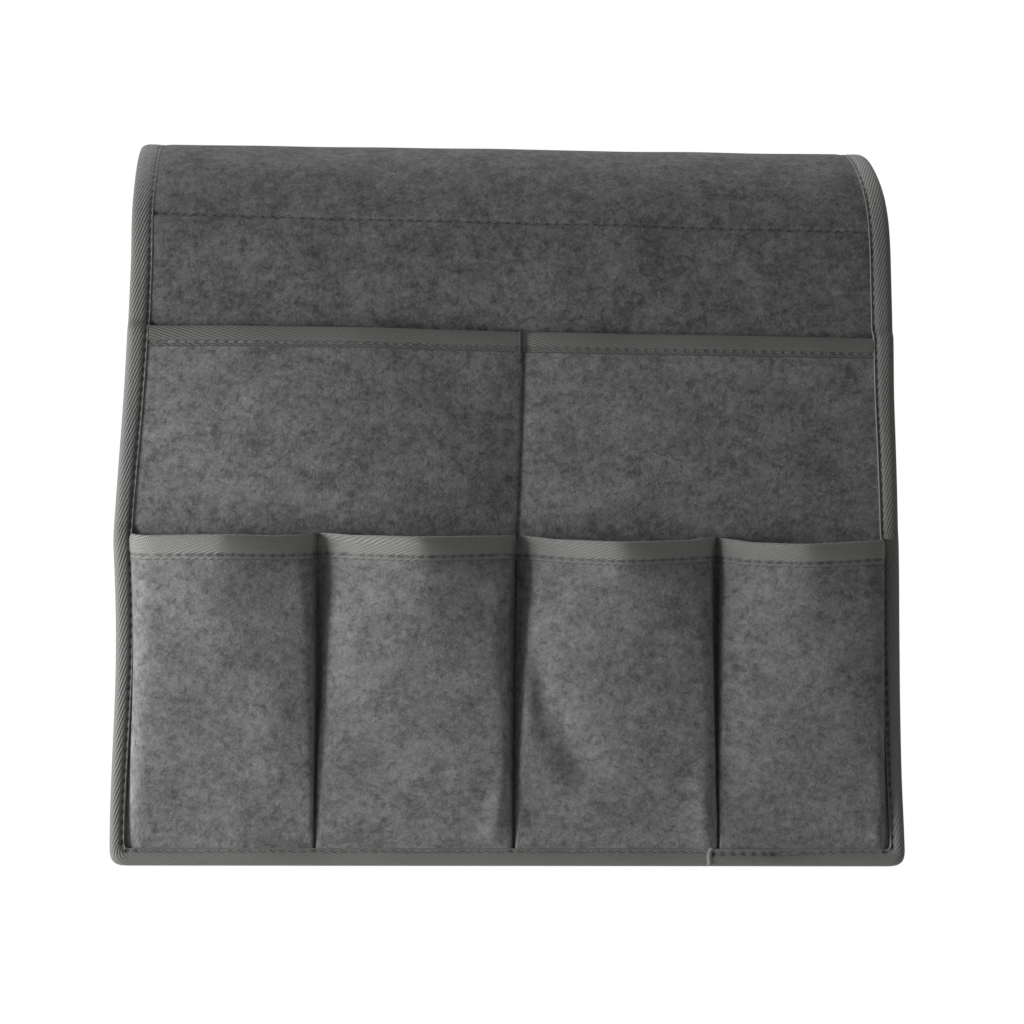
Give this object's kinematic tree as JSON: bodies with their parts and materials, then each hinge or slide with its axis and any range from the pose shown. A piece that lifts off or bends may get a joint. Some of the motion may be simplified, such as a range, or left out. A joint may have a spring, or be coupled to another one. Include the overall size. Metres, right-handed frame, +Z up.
{
  "type": "sofa armrest caddy",
  "caption": "Felt strip laid over a sofa arm, edges bound in twill tape, with flat pockets and pleated standing pockets on its front drop.",
  "frame": {"origin": "middle of the flat underside of the grip lining, where the caddy rests on the sofa arm", "axes": "+X across the strip towards the right of someone facing the pockets, -Y towards the pocket side, +Z up"},
  "size_m": [0.325, 0.2323, 0.3262],
  "materials": {
    "main_felt": "mottled dark grey wool-look felt",
    "pocket_felt": "mottled grey wool-look felt",
    "binding_tape": "grey twill tape with diagonal ribs",
    "grip_lining": "dark non-slip lining cloth"
  },
  "bodies": {
    "top": {"main_panel_top": "main_felt", "grip_lining_top": "grip_lining", "edge_tape_top_left": "binding_tape", "edge_tape_top_right": "binding_tape"},
    "front_drop": {"main_panel_front": "main_felt", "grip_lining_front": "grip_lining", "edge_tape_front": "binding_tape", "upper_pocket_panel": "pocket_felt", "upper_pocket_tape": "binding_tape"},
    "rear_drop": {"main_panel_rear": "main_felt", "grip_lining_rear": "grip_lining", "edge_tape_rear": "binding_tape"},
    "pocket_1": {"lower_pocket_1": "pocket_felt", "lower_pocket_tape_1": "binding_tape"},
    "pocket_2": {"lower_pocket_2": "pocket_felt", "lower_pocket_tape_2": "binding_tape"},
    "pocket_3": {"lower_pocket_3": "pocket_felt", "lower_pocket_tape_3": "binding_tape"},
    "pocket_4": {"lower_pocket_4": "pocket_felt", "lower_pocket_tape_4": "binding_tape"}
  },
  "joints": [
    {"name": "front_fold", "type": "hinge", "parent": "top", "child": "front_drop", "pos_m": [0, -0.08042, -0.01558], "axis": [-1, 0, 0], "range_deg": [0, 90]},
    {"name": "rear_fold", "type": "hinge", "parent": "top", "child": "rear_drop", "pos_m": [0, 0.08042, -0.01558], "axis": [1, 0, 0], "range_deg": [0, 90]},
    {"name": "pocket_1_gape", "type": "hinge", "parent": "front_drop", "child": "pocket_1", "pos_m": [-0.116, -0.10568, -0.31186], "axis": [1, 0, 0], "range_deg": [0, 6], "stiffness_Nm_per_rad": 0.03, "springref_deg": -11.46},
    {"name": "pocket_2_gape", "type": "hinge", "parent": "front_drop", "child": "pocket_2", "pos_m": [-0.0371, -0.10568, -0.31186], "axis": [1, 0, 0], "range_deg": [0, 6], "stiffness_Nm_per_rad": 0.03, "springref_deg": -11.46},
    {"name": "pocket_3_gape", "type": "hinge", "parent": "front_drop", "child": "pocket_3", "pos_m": [0.0452, -0.10568, -0.31186], "axis": [1, 0, 0], "range_deg": [0, 6], "stiffness_Nm_per_rad": 0.03, "springref_deg": -11.46},
    {"name": "pocket_4_gape", "type": "hinge", "parent": "front_drop", "child": "pocket_4", "pos_m": [0.12, -0.10568, -0.31186], "axis": [1, 0, 0], "range_deg": [0, 6], "stiffness_Nm_per_rad": 0.03, "springref_deg": -11.46}
  ]
}
